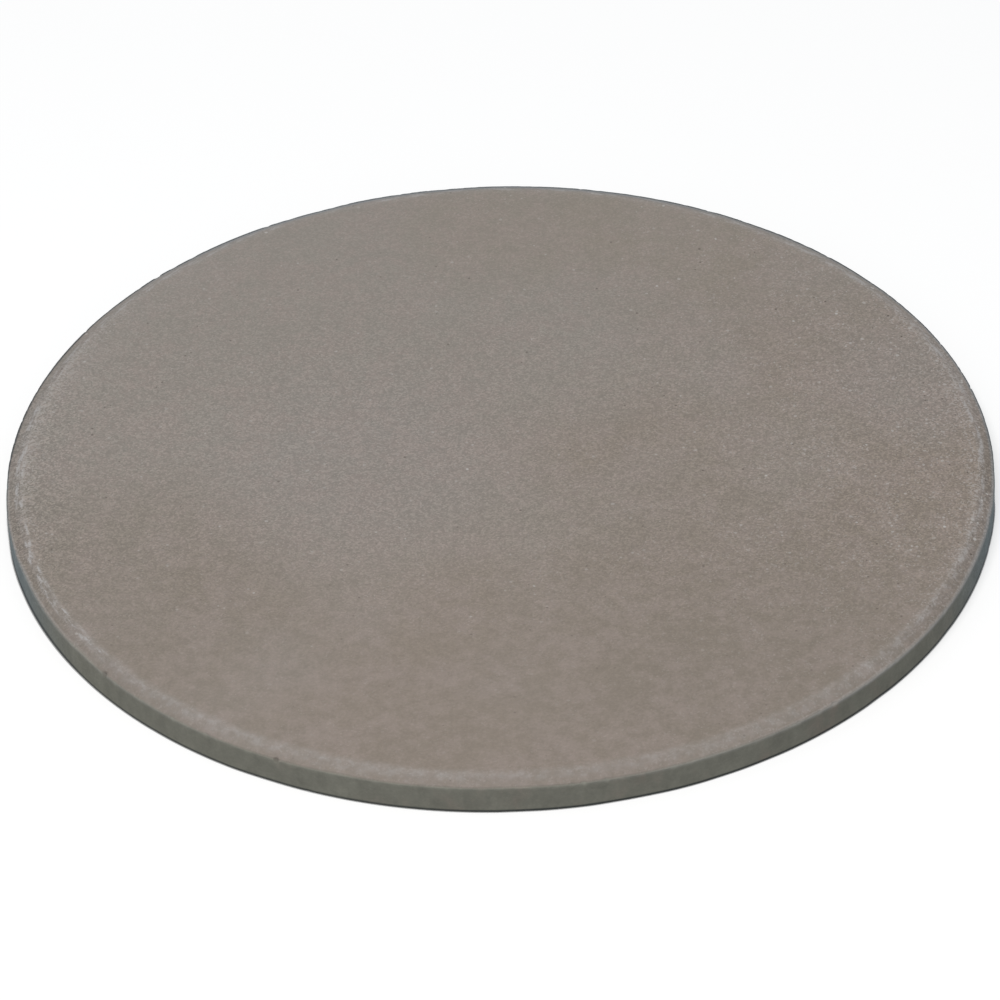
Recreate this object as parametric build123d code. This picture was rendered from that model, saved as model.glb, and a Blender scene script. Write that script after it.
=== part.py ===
from build123d import *

import os

# Pizza stone: one disc of cordierite, pressed in a mould and fired, lying on its
# underside. Lengths are in millimetres. +Z is up, and the origin is the centre of
# the underside.

# Driving dimensions
stone_diameter = 380.0
stone_thickness = 13.6

# The sloped edge that runs all round between the baking face and the wall
slope_width = 5.8
slope_height = 2.4

# Worn edges, as radii, from the baking face outwards and down
face_edge_radius = 6.0
wall_top_radius = 0.6
base_edge_radius = 0.5


def stone_section():
    """Half of the disc's section, from its axis to its wall."""
    outer = stone_diameter / 2
    base_corner = (outer, 0)
    wall_corner = (outer, stone_thickness - slope_height)
    face_corner = (outer - slope_width, stone_thickness)
    section = make_face(Polyline((0, 0), base_corner, wall_corner, face_corner, (0, stone_thickness), close=True))
    worn_corners = (
        (base_corner, base_edge_radius),
        (wall_corner, wall_top_radius),
        (face_corner, face_edge_radius),
    )
    for corner, radius in worn_corners:
        sharp = section.vertices().sort_by_distance(corner)[0]
        section = fillet(sharp, radius)
    return section


def baking_stone():
    """The whole disc: its section turned once about the upright axis."""
    disc = revolve(Plane.XZ * stone_section(), axis=Axis.Z)
    disc.label = "baking_stone"
    return disc


os.makedirs("parts", exist_ok=True)
export_step(baking_stone(), "parts/baking_stone.step")
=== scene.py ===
import math
import random

import bmesh
import bpy
from mathutils import Matrix, Quaternion, Vector, noise
from mathutils.kdtree import KDTree


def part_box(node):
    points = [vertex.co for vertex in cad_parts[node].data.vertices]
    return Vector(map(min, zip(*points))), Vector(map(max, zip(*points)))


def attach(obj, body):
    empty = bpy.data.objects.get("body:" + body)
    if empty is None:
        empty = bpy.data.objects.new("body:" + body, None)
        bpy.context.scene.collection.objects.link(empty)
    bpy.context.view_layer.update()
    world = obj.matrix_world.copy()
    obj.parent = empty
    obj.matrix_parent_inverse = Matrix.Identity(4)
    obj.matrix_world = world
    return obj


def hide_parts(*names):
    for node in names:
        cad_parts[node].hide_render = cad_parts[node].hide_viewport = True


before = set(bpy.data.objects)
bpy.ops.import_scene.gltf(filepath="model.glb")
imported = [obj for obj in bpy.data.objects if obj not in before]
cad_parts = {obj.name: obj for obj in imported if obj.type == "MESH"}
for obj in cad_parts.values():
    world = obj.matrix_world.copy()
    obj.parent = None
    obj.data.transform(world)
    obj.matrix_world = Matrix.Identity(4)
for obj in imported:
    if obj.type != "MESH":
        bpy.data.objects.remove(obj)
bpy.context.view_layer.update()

# The looks of a pizza stone: one fired cordierite disc on its underside, in metres
MM = 0.001

STONE = "baking_stone"
low_corner, high_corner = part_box(STONE)
RADIUS = min(high_corner.x, high_corner.y, -low_corner.x, -low_corner.y)
THICKNESS = high_corner.z

# The slope between the baking face and the wall, and the worn radii of the corners
SLOPE_WIDTH = 5.8 * MM
SLOPE_HEIGHT = 2.4 * MM
SLOPE_START = RADIUS - SLOPE_WIDTH
WALL_TOP = THICKNESS - SLOPE_HEIGHT
FACE_EDGE_RADIUS = 6.0 * MM
WALL_TOP_RADIUS = 1.0 * MM
BASE_EDGE_RADIUS = 0.5 * MM

# The disc as a mesh: its spokes, and how finely its section is cut
SPOKES = 1920
DOUBLINGS = 5
ARC_SEGMENTS = 4
RIM_BAND = 15 * MM
BAND_START = RADIUS - RIM_BAND
RIM_STEP = 0.76 * MM
BAND_STEP = 2.4 * MM
FACE_STEP = 60 * MM
SAME_PLACE = 0.01 * MM


def round_corner(bm, x, z, radius):
    """Bevels the section's corner at x, z into an arc of the given radius."""
    corner = min(bm.verts, key=lambda vert: math.hypot(vert.co.x - x, vert.co.z - z))
    runs = [edge.other_vert(corner).co - corner.co for edge in corner.link_edges]
    turn = math.pi - runs[0].angle(runs[1])
    bmesh.ops.bevel(
        bm,
        geom=[corner],
        offset=radius * math.tan(turn / 2),
        offset_type="OFFSET",
        segments=ARC_SEGMENTS,
        profile=0.5,
        affect="VERTICES",
        material=-1,
    )


def divide_runs(bm):
    """Cuts the section's straight runs, finest on the rim and coarse on the flat faces."""
    for edge in bm.edges[:]:
        nearest = min(vert.co.x for vert in edge.verts)
        step = RIM_STEP
        if edge.verts[0].co.z == edge.verts[1].co.z:
            step = FACE_STEP if nearest < BAND_START - SAME_PLACE else BAND_STEP
        cuts = round(edge.calc_length() / step) - 1
        if cuts > 0:
            bmesh.ops.subdivide_edges(bm, edges=[edge], cuts=cuts)


def order_faces(bm):
    """Stores the faces by their points' numbers, so that every run stores them in the same order."""
    bm.verts.index_update()
    ordered = sorted(bm.faces, key=lambda face: sorted(vert.index for vert in face.verts))
    for index, face in enumerate(ordered):
        face.index = index
    bm.faces.sort()


def pressed_disc():
    """The stone as it leaves the mould: its section spun through a sector, which is doubled into a disc."""
    bm = bmesh.new()
    outline = [
        (0, 0),
        (BAND_START, 0),
        (RADIUS, 0),
        (RADIUS, WALL_TOP),
        (SLOPE_START, THICKNESS),
        (BAND_START, THICKNESS),
        (0, THICKNESS),
    ]
    corners = [bm.verts.new((x, 0, z)) for x, z in outline]
    for pair in zip(corners, corners[1:]):
        bm.edges.new(pair)
    round_corner(bm, RADIUS, 0, BASE_EDGE_RADIUS)
    round_corner(bm, RADIUS, WALL_TOP, WALL_TOP_RADIUS)
    round_corner(bm, SLOPE_START, THICKNESS, FACE_EDGE_RADIUS)
    divide_runs(bm)
    sector = math.tau / 2**DOUBLINGS
    bmesh.ops.spin(
        bm,
        geom=bm.verts[:] + bm.edges[:],
        cent=(0, 0, 0),
        axis=(0, 0, 1),
        angle=sector,
        steps=SPOKES // 2**DOUBLINGS,
    )
    for doubling in range(DOUBLINGS):
        copied = bmesh.ops.duplicate(bm, geom=bm.verts[:] + bm.edges[:] + bm.faces[:])["geom"]
        turned = [part for part in copied if isinstance(part, bmesh.types.BMVert)]
        bmesh.ops.rotate(bm, verts=turned, matrix=Matrix.Rotation(sector * 2**doubling, 3, "Z"))
    bmesh.ops.remove_doubles(bm, verts=bm.verts, dist=SAME_PLACE)
    bmesh.ops.recalc_face_normals(bm, faces=bm.faces)
    order_faces(bm)
    return bm


# Wear on the rim: long shallow dips, grit and a crumbled top corner
DIP_LENGTH = 20 * MM
DIP_DEPTH = 0.4 * MM
GRIT_LENGTH = 1.7 * MM
GRIT_DEPTH = 0.07 * MM
CRUMB_LENGTH = 3.6 * MM
CRUMB_DEPTH = 0.45 * MM
CRUMB_LEVEL = 0.12
CORNER_REACH = 1.1 * MM
FOOT_HEIGHT = 3.0 * MM
WEAR_GROWTH = RIM_BAND / 2

# The two large nicks in the front of the wall's top corner: bearing in degrees, width and depth
NICKS = (
    (218.3, 3.2 * MM, 0.75 * MM),
    (243.5, 2.6 * MM, 0.55 * MM),
)

# Small nicks and chips all round: their numbers, reach in millimetres and depth as a share of it
SMALL_NICKS = 46
BASE_CHIPS = 12
NICK_REACH = (0.6, 1.5)
NICK_DEPTH = (0.15, 0.32)
NICK_LEAN = 0.6
NICK_SEED = 380


def on_rim(bearing, z):
    """A point on the wall's circle, at a bearing in degrees from +X."""
    angle = math.radians(bearing)
    return Vector((RADIUS * math.cos(angle), RADIUS * math.sin(angle), z))


def all_nicks():
    """Every nick and chip, as its centre, its reach and its depth."""
    draw = random.Random(NICK_SEED)
    nicks = [(on_rim(bearing, WALL_TOP), width / 2, depth) for bearing, width, depth in NICKS]
    for count, z in ((SMALL_NICKS, WALL_TOP), (BASE_CHIPS, 0.0)):
        for _ in range(count):
            reach = draw.uniform(*NICK_REACH) * MM
            place = on_rim(draw.uniform(0, 360), z)
            nicks.append((place, reach, reach * draw.uniform(*NICK_DEPTH)))
    return nicks


def wear(bm):
    """Moves the rim's points inwards by a fraction of a millimetre, never outwards."""
    bm.normal_update()
    bm.verts.index_update()
    moves = {}
    for vert in bm.verts:
        reach = math.hypot(vert.co.x, vert.co.y)
        if reach < BAND_START:
            continue
        if vert.co.z < SAME_PLACE and reach < RADIUS - 2 * BASE_EDGE_RADIUS:
            continue
        share = min(1.0, (reach - BAND_START) / WEAR_GROWTH)
        dip = max(0.0, noise.noise(vert.co / DIP_LENGTH))
        grit = 0.5 + 0.5 * noise.noise(vert.co / GRIT_LENGTH)
        above_foot = min(1.0, vert.co.z / FOOT_HEIGHT)
        corner = math.hypot(reach - RADIUS, vert.co.z - WALL_TOP)
        crumb = max(0.0, noise.noise(vert.co / CRUMB_LENGTH) - CRUMB_LEVEL)
        crumb = crumb * max(0.0, 1 - corner / CORNER_REACH)
        depth = share * (DIP_DEPTH * dip + GRIT_DEPTH * grit * above_foot + CRUMB_DEPTH * crumb)
        moves[vert.index] = -depth * vert.normal
    nearby = KDTree(len(bm.verts))
    for vert in bm.verts:
        nearby.insert(vert.co, vert.index)
    nearby.balance()
    for centre, radius, depth in all_nicks():
        inwards = Vector((-centre.x, -centre.y, 0)).normalized()
        inwards.z = -NICK_LEAN if centre.z > 0 else NICK_LEAN
        for _, index, away in nearby.find_range(centre, radius):
            moves[index] = moves.get(index, Vector()) + inwards * depth * (1 - (away / radius) ** 2) ** 2
    bm.verts.ensure_lookup_table()
    for index, move in moves.items():
        bm.verts[index].co += move


class Signal:
    """A value or colour in a node tree. Sums on it add Math nodes."""

    def __init__(self, finish, socket):
        self.finish = finish
        self.socket = socket

    def maths(self, operation, *values):
        return self.finish.node("ShaderNodeMath", {"operation": operation}, dict(enumerate(values)))

    def other(self, output):
        """Another output of the same node."""
        return Signal(self.finish, self.socket.node.outputs[output])

    def __add__(self, other):
        return self.maths("ADD", self, other)

    def __radd__(self, other):
        return self.maths("ADD", other, self)

    def __sub__(self, other):
        return self.maths("SUBTRACT", self, other)

    def __rsub__(self, other):
        return self.maths("SUBTRACT", other, self)

    def __mul__(self, other):
        return self.maths("MULTIPLY", self, other)

    def __rmul__(self, other):
        return self.maths("MULTIPLY", other, self)

    def __truediv__(self, other):
        return self.maths("DIVIDE", self, other)

    def __rtruediv__(self, other):
        return self.maths("DIVIDE", other, self)


class Finish:
    """The node tree of a material or of the sky."""

    def __init__(self, owner):
        owner.use_nodes = True
        self.tree = owner.node_tree
        self.tree.nodes.clear()

    def node(self, kind, settings=None, sockets=None, output=0):
        """Adds a node: its settings first, then the values or signals of its sockets."""
        made = self.tree.nodes.new(kind)
        for name, value in (settings or {}).items():
            setattr(made, name, value)
        for key, value in (sockets or {}).items():
            if isinstance(value, Signal):
                self.tree.links.new(value.socket, made.inputs[key])
            else:
                made.inputs[key].default_value = value
        if made.outputs:
            return Signal(self, made.outputs[output])

    def parts(self, vector):
        """The three parts of a vector or colour."""
        first = self.node("ShaderNodeSeparateXYZ", sockets={0: vector})
        return first, first.other(1), first.other(2)

    def vector(self, x, y, z):
        return self.node("ShaderNodeCombineXYZ", sockets={0: x, 1: y, 2: z})

    def shifted(self, vector, by):
        return self.node("ShaderNodeVectorMath", {"operation": "ADD"}, {0: vector, 1: by})

    def length(self, vector):
        return self.node("ShaderNodeVectorMath", {"operation": "LENGTH"}, {0: vector}, output="Value")

    def step(self, value, start, end):
        """0 before start, 1 after end, and smooth between them. It falls where end is below start."""
        rising = start < end
        return self.node(
            "ShaderNodeMapRange",
            {"interpolation_type": "SMOOTHSTEP"},
            {
                "Value": value,
                "From Min": start if rising else end,
                "From Max": end if rising else start,
                "To Min": 0.0 if rising else 1.0,
                "To Max": 1.0 if rising else 0.0,
            },
        )

    def band(self, value, line, marks):
        """1 between the middle two of four marks beside a line, and 0 outside the outer two."""
        rise_start, rise_end, fall_start, fall_end = marks
        rising = self.step(value, line + rise_start, line + rise_end)
        return rising * self.step(value, line + fall_end, line + fall_start)

    def blotches(self, vector, size, detail=0.0):
        """Soft noise around 0, whose blotches are about the given size."""
        cloud = self.node(
            "ShaderNodeTexNoise",
            {"noise_dimensions": "3D"},
            {"Vector": vector, "Scale": 1 / size, "Detail": detail},
        )
        return cloud - 0.5

    def cells(self, vector, spacing):
        """Packed cells: the distance to a cell's middle, in cells, and three random shares of its own."""
        distance = self.node(
            "ShaderNodeTexVoronoi",
            {"voronoi_dimensions": "3D"},
            {"Vector": vector, "Scale": 1 / spacing},
            output="Distance",
        )
        return distance, *self.parts(distance.other("Color"))

    def mix(self, factor, first, second):
        """A colour between two colours."""
        return self.node(
            "ShaderNodeMix",
            {"data_type": "RGBA", "clamp_factor": True},
            {0: factor, 6: first, 7: second},
            output=2,
        )

    def dimmed(self, colour, by):
        """A colour times a value."""
        return self.node("ShaderNodeVectorMath", {"operation": "SCALE"}, {0: colour, "Scale": by})


def tint(red, green, blue):
    """A colour read from a picture, 0 to 255, as the linear colour that shaders use."""
    shares = [value / 255 for value in (red, green, blue)]
    return [((v + 0.055) / 1.055) ** 2.4 for v in shares] + [1.0]


# Colours of the fired body and of what lies on it, and colours of painted shade, sheen and highlight
PALE_TAUPE = tint(141, 135, 128)
BROWN_TAUPE = tint(136, 126, 116)
OLIVE = tint(137, 128, 116)
DARK_OLIVE = tint(131, 122, 112)
PINK_GREY = tint(147, 135, 129)
COOL_GREY = tint(142, 136, 131)
# Pale colour of the chalk, and of the painted highlight on the wall's top corner
CHALK_AND_HIGHLIGHT = tint(169, 166, 165)
PALE_GRAIN = tint(172, 167, 163)
# Bluish grey of the painted cool sheen on the slope
COOL_SHEEN = tint(130, 144, 154)
GROG = tint(187, 184, 180)
# Dark colour of the small pits, and of the painted shade inside the large nicks
DARK_PIT_AND_NICK_SHADE = tint(84, 76, 70)
# Blue-black for the painted contact shade at the wall's foot, and for the darker outer corner at the back
BLUE_BLACK = tint(30, 42, 48)
WALL_OLIVE = tint(135, 134, 124)
WALL_SLATE = tint(126, 135, 138)
WALL_BROWN = tint(139, 130, 121)
UNDERSIDE = tint(138, 131, 123)

# The parts of the disc: where each one's mask is 0, and where it is 1
OUTSIDE = (RADIUS - 1.5 * MM, RADIUS - 0.9 * MM)
WALL = (WALL_TOP + 0.35 * MM, WALL_TOP - 0.5 * MM)
UNDER = (1.0 * MM, 0.3 * MM)
SLOPE = (SLOPE_START - 0.5 * MM, SLOPE_START + 0.8 * MM)
RIM = (0.80 * RADIUS, SLOPE_START)
RIGHT = (0.1 * RADIUS, 1.0 * RADIUS)
FAR_RIGHT = (0.45 * RADIUS, 1.0 * RADIUS)
FRONT = (-0.15 * RADIUS, -0.75 * RADIUS)
BACK = (0.15 * RADIUS, 0.95 * RADIUS)

# Spacing of the grains, then the size, detail and shift of each noise, from the finest
GRAIN = 0.66 * MM
SAND = (1.5 * MM, 0.0, (0.0, 0.0, 0.0))
CLUMP = (4.5 * MM, 0.0, (2.2, 8.1, 3.3))
CLUSTER = (13 * MM, 1.0, (0.9, 5.2, 2.2))
MOTTLE = (20 * MM, 2.0, (3.1, 1.7, 0.4))
DRIFT = (75 * MM, 1.0, (0.0, 0.0, 0.0))

# The way from the browner to the paler side of the baking face, as shares of the radius
PALER_WAY = (-0.62, 0.72)
PALER_NOISE = {"drift": 1.2, "mottle": 0.5}
PALER_EDGE = (-0.60, 0.50)

# Pinker spots all over it
PINKER_NOISE = {"mottle": 0.8, "cluster": 0.5, "clump": 0.6, "sand": 0.4, "hue": 0.3}
PINKER_EDGE = (-0.28, 0.34)
PINKER_SHARE = 0.5

# Broad patches on the baking face: colour and strength, then centre and radius as shares of the stone's
PATCHES = (
    (DARK_OLIVE, 0.70, (-0.80, -0.42), 0.44),
    (DARK_OLIVE, 0.80, (0.50, -0.55), 0.50),
    (OLIVE, 0.35, (0.05, 0.82), 0.24),
    (OLIVE, 0.40, (0.42, 0.80), 0.26),
    (COOL_GREY, 0.60, (-0.28, 0.02), 0.34),
    (COOL_GREY, 0.55, (0.87, 0.25), 0.22),
)
PATCH_FADE = (1.3, 0.3)
PATCH_NOISE = {"mottle": 30 * MM, "drift": 40 * MM}

# Pressed wall and underside. A side: strength, bearing, and how many degrees off it ends and is full
OLIVE_WALL_SIDES = ((1.0, 270, 78, 55), (0.55, 90, 82, 50))
BROWN_WALL_SIDES = ((1.0, 285, 60, 0),)
BROWN_WALL_EDGE = (0.0, 0.35)
UNDERSIDE_SHARE = 0.7
STREAK = 6.0 * MM
STREAK_DETAIL = 2.0
STREAK_STRETCH = 0.6
STREAK_IN_BROWN = 0.6

# Painted cool sheen on the slope, where it is seen at a grazing angle, strongest at its outer edge
EDGE_WIDTH = 0.9
EDGE_WIDTH_SIDES = ((1.5, 90, 75, 0),)
COOL_SHEEN_EDGE = (2.2 * MM, 0.9 * MM)
COOL_SHEEN_THIN = 0.12
COOL_SHEEN_SIDES = ((0.46, 93, 60, 10), (0.32, 14, 44, 0))

# Light and dark of the grain, stronger to the right and fainter towards the front and the back
TONE_STRENGTH = 0.35
TONE_LOW = 0.4
TONE_MEAN = 0.4
TONE_WHERE = {"front": -0.72, "back": -0.50}
SAND_STRENGTH = 0.09
SAND_WHERE = {"front": 0.35}
CLUMP_STRENGTH = 0.05
CLUMP_WHERE = {"front": 1.4, "right": -0.3}
CLUSTER_STRENGTH = 0.01
CONTRAST_WHERE = {"right": 0.18, "far_right": 0.20}
CONTRAST_FRONT = 0.5
CONTRAST_WALL = 0.05
CONTRAST_RIM_SIDES = ((0.58, 180, 28, 0),)

# Painted shade and light, set by bearing, on the slope, the outer part of the baking face and the wall's
# top corner, and how strongly the wall is streaked
SLOPE_SHADE = 0.05
SLOPE_SHADE_SIDES = (
    (-0.06, 28, 32, 0),
    (0.03, 75, 30, 0),
    (0.03, 95, 45, 10),
    (-0.04, 132, 28, 0),
    (0.03, 162, 24, 0),
    (0.06, 195, 50, 0),
    (-0.02, 310, 35, 0),
    (0.11, 342, 28, 0),
)
FACE_EDGE_SHADE_SIDES = ((0.02, 285, 55, 0), (0.015, 200, 40, 0), (-0.018, 90, 60, 0))
FACE_EDGE_SHADE = (0.5 * RADIUS, 0.95 * RADIUS)
CREST_SHADE = (-0.3 * MM, 0.1 * MM, 0.12 * MM, 0.3 * MM)
CREST_SHADE_SIDES = ((0.12, 272, 46, 25),)
STREAK_STRENGTH = 0.5

# Chalky strands and clouds, which run along the rim
STRAND = 8 * MM
STRAND_STRETCH = 5
STRAND_DETAIL = 2.0
CLOUD = 3.4 * MM
CLOUD_STRETCH = 1.3
CLOUD_DETAIL = 1.0
WANDER = 1.4 * MM

# The thin line of chalk where the slope starts, and how strands and specks break it up
THIN_LINE = (-1.5 * MM, 0.1 * MM, 1.2 * MM, 2.8 * MM)
THIN_SHARE = 0.48
THIN_SIDES = ((0.42, 190, 32, 0), (-0.42, 266, 58, 34), (0.15, 18, 30, 0), (-0.28, 325, 30, 0))
STRAND_EDGE = (-0.04, 0.15)
STRAND_FAINT = 0.15
STRAND_STRONG = 1.25
SPECKLE = 0.55
SPECKLE_SIDES = ((-0.25, 176, 30, 0),)
SPECKLE_TONE = 0.9
SPECKLE_TONE_SIDES = ((0.5, 176, 30, 0),)

# The wide soft band of chalk, the patches in it and the haze beside it
WIDE_BAND = (-3.5 * MM, 0.3 * MM, 1.5 * MM, 7.0 * MM)
WIDE_SIDES = (
    (0.34, 260, 72, 15),
    (0.22, 82, 75, 0),
    (0.12, 163, 24, 0),
    (0.16, 322, 40, 0),
    (-0.09, 285, 28, 0),
)
WIDE_CLOUD = (-0.15, 0.2)
WIDE_FAINT = 0.62
WIDE_STRONG = 0.6
PATCHY_BAND = (-2.0 * MM, 0.1 * MM, 1.0 * MM, 2.8 * MM)
PATCHY_SIDES = ((0.08, 250, 66, 25), (0.24, 332, 24, 0))
PATCHY_CLOUD = (0.0, 0.2)
HAZE = (0.83 * RADIUS, 0.955 * RADIUS)
HAZE_SIDES = ((0.12, 150, 34, 0),)
HAZE_NOISE = {"mottle": 1, "cluster": 0.5}
HAZE_EDGE = (-0.3, 0.25)

# Chalk and a painted highlight on the wall's top corner, and chalk on the lip of the slope above it
CORNER_CHALK_AND_HIGHLIGHT_BAND = (-2.0 * MM, -0.4 * MM, -0.3 * MM, 0.25 * MM)
CORNER_CHALK_AND_HIGHLIGHT_SHARE = 0.05
CORNER_CHALK_AND_HIGHLIGHT_SIDES = ((0.26, 312, 40, 15), (0.48, 328, 30, 0), (0.20, 212, 28, 0))
LIP_BAND = (-0.02 * MM, 0.12 * MM, 0.28 * MM, 0.50 * MM)
LIP_SHARE = 0.05
LIP_SIDES = ((0.26, 332, 44, 12), (0.34, 195, 22, 3))
CHALK_AND_HIGHLIGHT_SHARE = 0.75

# Pale grains, more of them in dust and to the right
DUSTY = (SLOPE_START - 9 * MM, SLOPE_START - 0.5 * MM)
DUSTY_SIDES = ((1.0, 168, 32, 0), (0.6, 2, 42, 0))
PALE_BASE = 0.03
PALE_WHERE = {"right": 0.05, "cluster": 0.25}
PALE_RIM_SIDES = ((0.06, 165, 60, 0),)
PALE_IN_DUST = 0.32
PALE_IN_CHALK = 0.4
PALE_CHANCE = (0.96, 1.04)
PALE_SHOWN = 0.24
PALE_SHOWN_RIGHT = 0.20
PALE_SHOWN_IN_DUST = 0.22
PALE_FRONT = 0.4

# Pale grog in clusters, more of it to the right
GROG_SPACING = 2.2 * MM
GROG_SHIFT = (0.03, 0.07, 0.0)
GROG_CLUSTERS = {"cluster": 1, "clump": 0.5}
GROG_CLUSTER_EDGE = (-0.05, 0.22)
GROG_BASE = 0.015
GROG_WHERE = {"right": 0.05}
GROG_CLUSTERED = 0.06
GROG_CLUSTERED_WHERE = {"right": 0.16, "far_right": 0.28}
GROG_RAGGED = 0.3
GROG_SIZE = 0.50
GROG_SIZE_RANGE = 0.90
GROG_EDGE = (0.30, 0.17)
GROG_CHANCE = (0.995, 1.005)
GROG_SHOWN = 0.30
GROG_SHOWN_RANGE = 0.66
GROG_ELSEWHERE = 0.75
GROG_FRONT = 0.7

# Small dark pits, in the same cells as the grog, and the painted shade inside the large nicks
PIT_SIZE = 0.6
PIT_SIZE_RANGE = 0.6
PIT_EDGE = (0.26, 0.14)
PIT_CHANCE = (0.022, 0.016)
PIT_RIGHT = 0.014
PIT_SHOWN = 0.6
PIT_SHOWN_RIGHT = 0.3
PIT_FRONT = 0.5
PIT_WALL = 0.8
NICK_SHADE_FADE = (0.6, 0.3)
NICK_SHADE = 0.5

# Painted contact shade at the foot of the wall, and the darker outer corner at the back
FOOT_SHADE = (1.4 * MM, 0.7 * MM)
FOOT_SHADE_HEIGHT_SIDES = ((1.3, 193, 24, 0),)
FOOT_SHADE_SHARE = 0.75
FOOT_SHADE_SIDES = ((-0.15, 235, 40, 0),)
BACK_CORNER = (1.2 * MM, 0.4 * MM)
BACK_CORNER_HEIGHT = (WALL_TOP - 0.5 * MM, WALL_TOP)
BACK_CORNER_REACH_SIDES = ((1.0, 90, 100, 83),)
BACK_CORNER_WIDTH_SIDES = ((0.5, 162, 18, 0),)
BACK_CORNER_SHARE = 0.95
BACK_CORNER_SIDES = ((-0.23, 90, 50, 0), (-0.36, 2, 16, 0), (-0.14, 166, 16, 0))

# Relief too fine for the mesh, and the matt shine
RELIEF_NOISE = {"sand": 0.8, "clump": 0.5}
RELIEF_STRENGTH = 0.6
RELIEF_DEPTH = 0.12 * MM
ROUGHNESS = 0.86
ROUGHNESS_SAND = 0.2
ROUGHNESS_TONE = 0.08
SPECULAR = 0.3


class StoneFinish(Finish):
    """The stone's finish, with signals for where a point is on the disc and how its grain runs."""

    def __init__(self, owner):
        super().__init__(owner)
        self.place = self.node("ShaderNodeTexCoord", output="Object")
        self.x, self.y, self.z = self.parts(self.place)
        self.reach = self.length(self.vector(self.x, self.y, 0.0))

        self.outside = self.step(self.reach, *OUTSIDE)
        self.wall = self.outside * self.step(self.z, *WALL)
        self.under = self.step(self.z, *UNDER) * (1 - self.outside)
        self.topside = (1 - self.wall) * (1 - self.under)
        self.slope = self.step(self.reach, *SLOPE) * self.topside
        self.rim = self.step(self.reach, *RIM) * self.topside
        self.right = self.step(self.x, *RIGHT)
        self.far_right = self.step(self.x, *FAR_RIGHT)
        self.front = self.step(self.y, *FRONT)
        self.back = self.step(self.y, *BACK)

        _, self.tone, hue, self.kind = self.cells(self.place, GRAIN)
        self.hue = hue - 0.5
        self.sand = self.body_noise(*SAND)
        self.clump = self.body_noise(*CLUMP)
        self.cluster = self.body_noise(*CLUSTER)
        self.mottle = self.body_noise(*MOTTLE)
        self.drift = self.body_noise(*DRIFT)
        upright = self.vector(self.x, self.y, self.z * STREAK_STRETCH)
        self.streaks = self.blotches(upright, STREAK, STREAK_DETAIL)
        self.wander = self.reach + WANDER * self.mottle
        self.from_edge = (RADIUS - self.reach) / self.sides(EDGE_WIDTH_SIDES, EDGE_WIDTH)

    def body_noise(self, size, detail, shift):
        return self.blotches(self.shifted(self.place, shift), size, detail)

    def sum_of(self, shares, everywhere=0.0):
        """The named signals in the given shares, added to a value that holds everywhere."""
        total = everywhere
        for name, share in shares.items():
            total = total + share * getattr(self, name)
        return total

    def sides(self, strengths, everywhere=0.0):
        """A strength round the disc: one that holds everywhere, and more or less of it on some sides."""
        total = everywhere
        for strength, bearing, end, full in strengths:
            angle = math.radians(bearing)
            facing = (self.x * math.cos(angle) + self.y * math.sin(angle)) / self.reach
            near = self.step(facing, math.cos(math.radians(end)), math.cos(math.radians(full)))
            total = total + strength * near
        return total

    def along_rim(self, stretch):
        """A point's bearing and stretched reach, as a place whose patterns run along the rim."""
        return self.vector(self.x / self.reach * RADIUS, self.y / self.reach * RADIUS, self.reach * stretch)

    def face_colour(self):
        """The baking face: paler and greyer towards one side, with faint broad patches."""
        paler = (self.x * PALER_WAY[0] + self.y * PALER_WAY[1]) / RADIUS + self.sum_of(PALER_NOISE)
        body = self.mix(self.step(paler, *PALER_EDGE), BROWN_TAUPE, PALE_TAUPE)
        for colour, strength, (across, away), size in PATCHES:
            centre = (-across * RADIUS, -away * RADIUS, -THICKNESS)
            ragged = self.length(self.shifted(self.place, centre)) + self.sum_of(PATCH_NOISE)
            fade_start, fade_end = (share * size * RADIUS for share in PATCH_FADE)
            body = self.mix(self.step(ragged, fade_start, fade_end) * strength, body, colour)
        pinker = self.step(self.sum_of(PINKER_NOISE), *PINKER_EDGE)
        return self.mix(pinker * PINKER_SHARE, body, PINK_GREY)

    def mould_colour(self, body):
        """The wall and the underside, pressed against the mould, and a painted cool sheen on the slope."""
        browner = self.step(self.mottle + STREAK_IN_BROWN * self.streaks, *BROWN_WALL_EDGE)
        wall_body = self.mix(self.sides(OLIVE_WALL_SIDES), WALL_SLATE, WALL_OLIVE)
        wall_body = self.mix(browner * self.sides(BROWN_WALL_SIDES), wall_body, WALL_BROWN)
        body = self.mix(self.wall, body, wall_body)
        body = self.mix(self.under * UNDERSIDE_SHARE, body, UNDERSIDE)
        # Painted reflection: a bluish sheen on the slope, mostly at the back, standing in for cool light
        # caught at a grazing angle
        cool_sheen = self.slope * (COOL_SHEEN_THIN + self.step(self.from_edge, *COOL_SHEEN_EDGE))
        return self.mix(cool_sheen * self.sides(COOL_SHEEN_SIDES), body, COOL_SHEEN)

    def grain_light(self):
        """The light and dark of the grain, as a value around 0."""
        tone = self.tone * (TONE_LOW + (1 - TONE_LOW) * self.tone) - TONE_MEAN
        fine = TONE_STRENGTH * tone * self.sum_of(TONE_WHERE, 1)
        fine = fine + SAND_STRENGTH * self.sand * self.sum_of(SAND_WHERE, 1)
        coarse = CLUMP_STRENGTH * self.clump * self.sum_of(CLUMP_WHERE, 1) + CLUSTER_STRENGTH * self.cluster
        contrast = 1 + self.sum_of(CONTRAST_WHERE) * (1 - CONTRAST_FRONT * self.front)
        contrast = contrast + self.rim * self.sides(CONTRAST_RIM_SIDES)
        return contrast * (1 - CONTRAST_WALL * self.wall) * (fine + coarse)

    def shaded(self, body):
        """The body with its grain, its streaked wall, and painted shade and light on its slope, the outer
        part of its baking face and its wall's top corner.
        """
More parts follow.
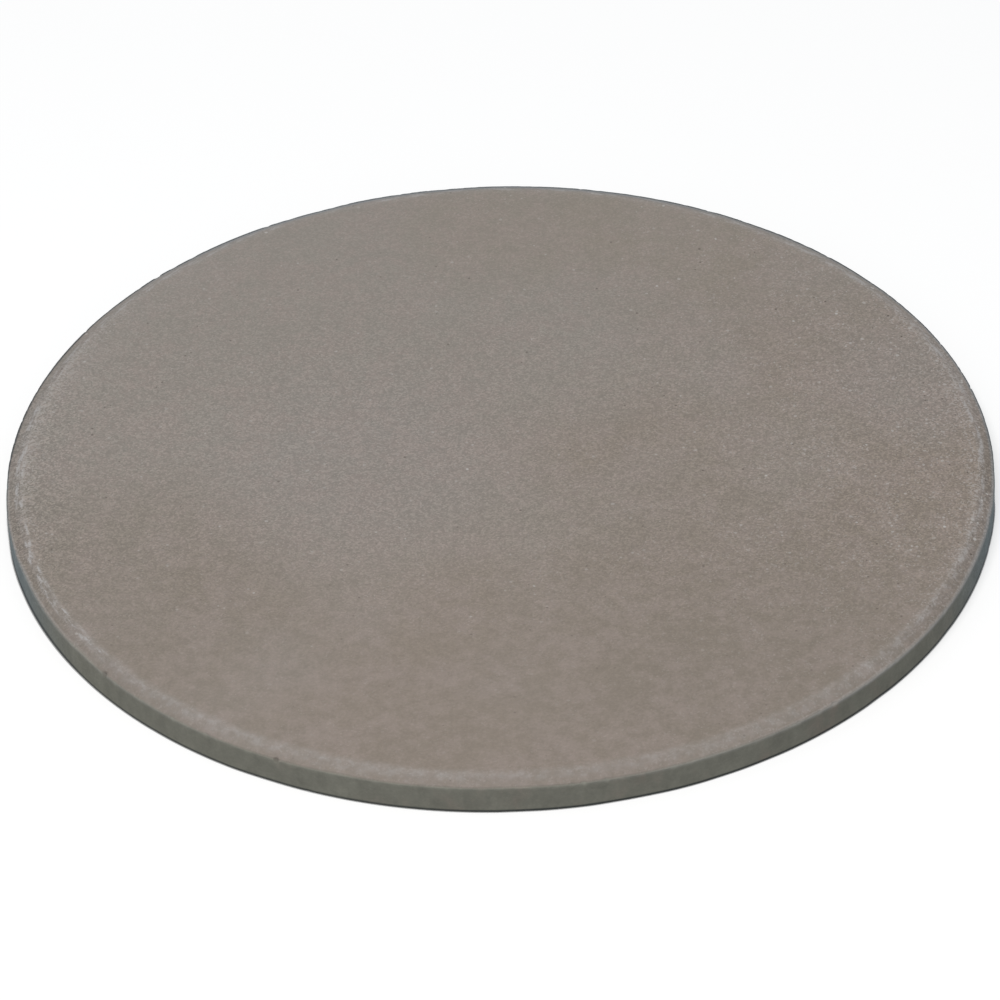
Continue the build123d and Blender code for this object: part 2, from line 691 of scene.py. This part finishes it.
        # Painted shade and light: the slope, the outer baking face and the front of the wall's top corner
        # are darkened or lightened by bearing, as light falls on them
        slope_shade = self.sides(SLOPE_SHADE_SIDES, SLOPE_SHADE) * self.slope
        face_edge_shade = self.sides(FACE_EDGE_SHADE_SIDES) * self.step(self.reach, *FACE_EDGE_SHADE) * (1 - self.wall)
        crest_shade = self.band(self.z, WALL_TOP, CREST_SHADE) * self.outside * self.sides(CREST_SHADE_SIDES)
        light = 1 + self.grain_light() + STREAK_STRENGTH * self.wall * self.streaks
        return self.dimmed(body, light - slope_shade - face_edge_shade - crest_shade)

    def chalk_lines(self):
        """Chalk along the start of the slope: a thin line of strands, a wide band, patches and haze."""
        strands = self.blotches(self.along_rim(STRAND_STRETCH), STRAND, STRAND_DETAIL)
        clouds = self.blotches(self.along_rim(CLOUD_STRETCH), CLOUD, CLOUD_DETAIL)
        speckle = self.sides(SPECKLE_TONE_SIDES, SPECKLE_TONE) * self.tone
        speckle = speckle + self.sides(SPECKLE_SIDES, SPECKLE)
        thin = self.band(self.wander, SLOPE_START, THIN_LINE) * self.sides(THIN_SIDES, THIN_SHARE)
        thin = thin * (STRAND_FAINT + STRAND_STRONG * self.step(strands, *STRAND_EDGE)) * speckle
        wide = self.band(self.wander, SLOPE_START, WIDE_BAND) * self.sides(WIDE_SIDES)
        wide = wide * (WIDE_FAINT + WIDE_STRONG * self.step(clouds, *WIDE_CLOUD))
        patchy = self.band(self.wander, SLOPE_START, PATCHY_BAND) * self.sides(PATCHY_SIDES)
        patchy = patchy * self.step(clouds, *PATCHY_CLOUD)
        haze = self.step(self.reach, *HAZE) * (1 - self.slope) * self.sides(HAZE_SIDES)
        haze = haze * self.step(self.sum_of(HAZE_NOISE), *HAZE_EDGE)
        return thin + wide + patchy + haze

    def dusted(self, body):
        """The body with chalk along its edges, partly a painted highlight on the wall's top corner, and
        with pale grains.
        """
        # Painted highlight: the pale line on the wall's top corner is partly chalk and partly a highlight
        # painted along the arris
        corner = self.outside * self.band(self.z, WALL_TOP, CORNER_CHALK_AND_HIGHLIGHT_BAND)
        corner = corner * self.sides(CORNER_CHALK_AND_HIGHLIGHT_SIDES, CORNER_CHALK_AND_HIGHLIGHT_SHARE)
        lip = self.band(self.z, WALL_TOP, LIP_BAND) * self.sides(LIP_SIDES, LIP_SHARE)
        chalk_and_highlight = (self.chalk_lines() * (1 - self.wall) + corner + lip) * (1 - self.under)
        dusty = self.step(self.wander, *DUSTY) * (1 - self.slope) * self.sides(DUSTY_SIDES) * self.topside
        chance = self.kind + self.sum_of(PALE_WHERE, PALE_BASE) + self.rim * self.sides(PALE_RIM_SIDES)
        chance = chance + PALE_IN_DUST * dusty + PALE_IN_CHALK * chalk_and_highlight
        shown = PALE_SHOWN + PALE_SHOWN_RIGHT * self.right + PALE_SHOWN_IN_DUST * dusty
        shown = shown * (1 - PALE_FRONT * self.front) * (1 - self.wall)
        body = self.mix(CHALK_AND_HIGHLIGHT_SHARE * chalk_and_highlight, body, CHALK_AND_HIGHLIGHT)
        return self.mix(self.step(chance, *PALE_CHANCE) * shown, body, PALE_GRAIN)

    def flecked(self, body):
        """The body with pale grog and small dark pits, at most one of them in a cell."""
        off, chance, spread, shade = self.cells(self.shifted(self.place, GROG_SHIFT), GROG_SPACING)
        clustered = self.step(self.sum_of(GROG_CLUSTERS), *GROG_CLUSTER_EDGE)
        grog_share = self.sum_of(GROG_WHERE, GROG_BASE)
        grog_share = grog_share + self.sum_of(GROG_CLUSTERED_WHERE, GROG_CLUSTERED) * clustered
        grog = (off + GROG_RAGGED * self.sand) / (GROG_SIZE + GROG_SIZE_RANGE * spread)
        grog = self.step(grog, *GROG_EDGE)
        grog = grog * self.step(chance + grog_share, *GROG_CHANCE)
        grog_shown = (1 - GROG_FRONT * self.front) * (1 - self.wall)
        grog_shown = grog_shown * (GROG_SHOWN + GROG_SHOWN_RANGE * shade)
        grog_shown = grog_shown * (GROG_ELSEWHERE + (1 - GROG_ELSEWHERE) * self.far_right)
        pits = self.step(off / (PIT_SIZE + PIT_SIZE_RANGE * spread), *PIT_EDGE)
        pits = pits * self.step(chance - PIT_RIGHT * self.right, *PIT_CHANCE)
        pits_shown = (1 - PIT_WALL * self.wall) * (1 - PIT_FRONT * self.front)
        pits_shown = pits_shown * (PIT_SHOWN + PIT_SHOWN_RIGHT * self.right)
        body = self.mix(grog * grog_shown, body, GROG)
        return self.mix(pits * pits_shown, body, DARK_PIT_AND_NICK_SHADE)

    def nicked(self, body):
        """The body with painted shade inside its two large nicks."""
        for bearing, width, _ in NICKS:
            off_nick = self.length(self.shifted(self.place, -on_rim(bearing, WALL_TOP)))
            fade_start, fade_end = (share * width for share in NICK_SHADE_FADE)
            # Painted shade: the hollows of the large nicks are darkened
            body = self.mix(self.step(off_nick, fade_start, fade_end) * NICK_SHADE, body, DARK_PIT_AND_NICK_SHADE)
        return body

    def foot_shade_and_dark_corner(self, body):
        """The body with painted contact shade round the foot of its wall, and a darker outer corner at the
        back.
        """
        # Painted shade: the foot of the wall turns blue-black where the contact shadow with the floor falls
        foot_shade = self.step(self.z / self.sides(FOOT_SHADE_HEIGHT_SIDES, 1), *FOOT_SHADE)
        foot_shade = self.outside * foot_shade * self.sides(FOOT_SHADE_SIDES, FOOT_SHADE_SHARE)
        corner = self.step(self.from_edge / self.sides(BACK_CORNER_WIDTH_SIDES, 1), *BACK_CORNER)
        corner = corner * self.step(self.z, *BACK_CORNER_HEIGHT) * self.sides(BACK_CORNER_REACH_SIDES)
        corner = corner * self.sides(BACK_CORNER_SIDES, BACK_CORNER_SHARE)
        return self.mix(corner, self.mix(foot_shade, body, BLUE_BLACK), BLUE_BLACK)


def fired_cordierite():
    """The stone's material: sandy grain, pale and dark flecks, faint patches and chalky edges."""
    material = bpy.data.materials.new("fired_cordierite")
    stone = StoneFinish(material)
    body = stone.mould_colour(stone.face_colour())
    body = stone.dusted(stone.shaded(body))
    body = stone.nicked(stone.flecked(body))
    body = stone.foot_shade_and_dark_corner(body)
    height = stone.sum_of(RELIEF_NOISE)
    relief = stone.node(
        "ShaderNodeBump",
        sockets={"Strength": RELIEF_STRENGTH, "Distance": RELIEF_DEPTH, "Height": height},
    )
    roughness = ROUGHNESS + ROUGHNESS_SAND * stone.sand + ROUGHNESS_TONE * (stone.tone - 0.5)
    shader = stone.node(
        "ShaderNodeBsdfPrincipled",
        sockets={
            "Base Color": body,
            "Roughness": roughness,
            "Normal": relief,
            "Specular IOR Level": SPECULAR,
        },
    )
    stone.node("ShaderNodeOutputMaterial", sockets={"Surface": shader})
    return material


def baking_stone():
    """The stone itself: the pressed disc with its wear and finish, in place of the plain solid."""
    bm = pressed_disc()
    wear(bm)
    mesh = bpy.data.meshes.new("worn_baking_stone")
    bm.to_mesh(mesh)
    bm.free()
    mesh.shade_smooth()
    mesh.materials.append(fired_cordierite())
    stone = bpy.data.objects.new("worn_baking_stone", mesh)
    bpy.context.collection.objects.link(stone)
    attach(stone, "root")
    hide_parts(STONE)


# The studio: a pale floor, an even sky and one soft lamp above the front
FLOOR_SIZE = 8.0
FLOOR_BOUNCE = (0.30, 0.30, 0.29, 1.0)
FLOOR_GREY = (0.42, 0.42, 0.42, 1.0)
FLOOR_GLOW = 0.62
CONTACT_REACH = 1.2 * MM
CONTACT_EDGE = (0.64, 0.73)
SHADOW = (0.0, 0.0, 0.0, 1.0)
SKY_LIGHT = 0.45
SKY_COLOUR = (0.95, 1.0, 1.05, 1.0)
WHITE = (1.0, 1.0, 1.0, 1.0)
LAMP_BEARING = math.radians(247)
LAMP_ELEVATION = math.radians(67)
LAMP_DISTANCE = 1.91
LAMP_SIZE = 0.9
LAMP_POWER = 21.0
LAMP_COLOUR = (1.03, 1.0, 0.965)


def seen_rays(finish):
    """1 for the rays that show the background itself: to the camera, or by way of gloss or glass."""
    camera = finish.node("ShaderNodeLightPath", output="Is Camera Ray")
    by_gloss = camera.other("Is Glossy Ray")
    by_glass = camera.other("Is Transmission Ray")
    return camera.maths("MAXIMUM", camera, camera.maths("MAXIMUM", by_gloss, by_glass))


def pale_floor():
    """A floor that shows white with the stone's shadow and a painted contact shadow on it, and throws
    little light back.
    """
    material = bpy.data.materials.new("pale_floor")
    paint = Finish(material)
    bounced = paint.node("ShaderNodeBsdfDiffuse", sockets={"Color": FLOOR_BOUNCE})
    shaded = paint.node("ShaderNodeBsdfDiffuse", sockets={"Color": FLOOR_GREY})
    # Painted contact shadow: the floor's glow turns black where ambient occlusion finds the stone close by
    open_sky = paint.node("ShaderNodeAmbientOcclusion", sockets={"Distance": CONTACT_REACH}, output="AO")
    glowing = paint.mix(paint.step(open_sky, *CONTACT_EDGE), SHADOW, WHITE)
    glow = paint.node("ShaderNodeEmission", sockets={"Color": glowing, "Strength": FLOOR_GLOW})
    shown = paint.node("ShaderNodeAddShader", sockets={0: shaded, 1: glow})
    both = paint.node("ShaderNodeMixShader", sockets={0: seen_rays(paint), 1: bounced, 2: shown})
    paint.node("ShaderNodeOutputMaterial", sockets={"Surface": both})

    bm = bmesh.new()
    bmesh.ops.create_grid(bm, x_segments=1, y_segments=1, size=FLOOR_SIZE / 2)
    mesh = bpy.data.meshes.new("floor")
    bm.to_mesh(mesh)
    bm.free()
    mesh.materials.append(material)
    floor = bpy.data.objects.new("floor", mesh)
    bpy.context.collection.objects.link(floor)


def even_sky():
    """A soft sky that lights the stone evenly and shows as white."""
    world = bpy.data.worlds.new("even_sky")
    sky = Finish(world)
    seen = seen_rays(sky)
    colour = sky.mix(seen, SKY_COLOUR, WHITE)
    strength = SKY_LIGHT + seen * (1 - SKY_LIGHT)
    light = sky.node("ShaderNodeBackground", sockets={"Color": colour, "Strength": strength})
    sky.node("ShaderNodeOutputWorld", sockets={"Surface": light})
    bpy.context.scene.world = world


def soft_lamp():
    """One large round lamp, turned towards the stone."""
    data = bpy.data.lights.new("soft_lamp", "AREA")
    data.shape = "DISK"
    data.size = LAMP_SIZE
    data.energy = LAMP_POWER
    data.color = LAMP_COLOUR
    flat = LAMP_DISTANCE * math.cos(LAMP_ELEVATION)
    lamp = bpy.data.objects.new("soft_lamp", data)
    lamp.location = (
        flat * math.cos(LAMP_BEARING),
        flat * math.sin(LAMP_BEARING),
        LAMP_DISTANCE * math.sin(LAMP_ELEVATION),
    )
    lamp.rotation_euler = (-lamp.location).to_track_quat("-Z", "Y").to_euler()
    bpy.context.collection.objects.link(lamp)


# The camera, at the photograph's viewing angle
FOCAL_PIXELS = 6925
PICTURE_PIXELS = 1000
SENSOR = 36.0
CAMERA_DISTANCE = 2.667
CAMERA_END = 50.0
CAMERA_ELEVATION = math.radians(37.69)
CAMERA_ROLL = math.radians(-1.574)
CAMERA_AIM = Vector((-0.0003, -0.0042, 0.0))


def camera():
    """A long lens, turned so that the stone leans in the picture as it does in the photograph."""
    data = bpy.data.cameras.new("camera")
    data.sensor_width = SENSOR
    data.lens = FOCAL_PIXELS / PICTURE_PIXELS * SENSOR
    data.clip_end = CAMERA_END
    back = Vector((0, -math.cos(CAMERA_ELEVATION), math.sin(CAMERA_ELEVATION)))
    held = bpy.data.objects.new("camera", data)
    held.location = CAMERA_AIM + CAMERA_DISTANCE * back
    turn = (-back).to_track_quat("-Z", "Y") @ Quaternion((0, 0, 1), CAMERA_ROLL)
    held.rotation_euler = turn.to_euler()
    bpy.context.collection.objects.link(held)
    bpy.context.scene.camera = held


baking_stone()
pale_floor()
even_sky()
soft_lamp()
camera()
bpy.context.scene.view_settings.view_transform = "Standard"
